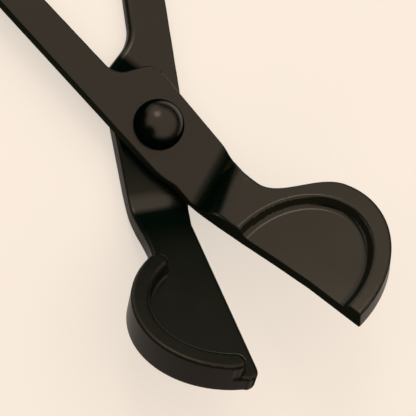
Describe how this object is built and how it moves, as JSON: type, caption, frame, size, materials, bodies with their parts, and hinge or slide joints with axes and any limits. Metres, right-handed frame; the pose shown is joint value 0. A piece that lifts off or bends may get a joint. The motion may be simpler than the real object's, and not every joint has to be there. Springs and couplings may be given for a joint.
{
  "type": "wick trimmer",
  "caption": "Wick trimmer: scissors with a tilted round head, a shallow tray on one half, a guarded plate on the other, and long handles with finger loops.",
  "frame": {"origin": "on the flat underside of the lower half, on the rivet's axis", "axes": "+Z along the rivet, up through the domed head; +X along the centre line between the open halves, towards the round head; the tray is on the +Y side and its handle on the -Y side"},
  "size_m": [0.168, 0.1156, 0.0343],
  "materials": {
    "black_coat": "satin",
    "rivet_coat": "satin",
    "washer_steel": "plain"
  },
  "bodies": {
    "lower": {"blade_half": "black_coat", "pivot_rivet": "rivet_coat", "friction_washer": "washer_steel"},
    "upper": {"tray_half": "black_coat"}
  },
  "joints": [
    {"name": "pivot", "type": "hinge", "parent": "lower", "child": "upper", "pos_m": [0, 0, 0], "axis": [0, 0, 1], "range_deg": [-26, 29]}
  ]
}
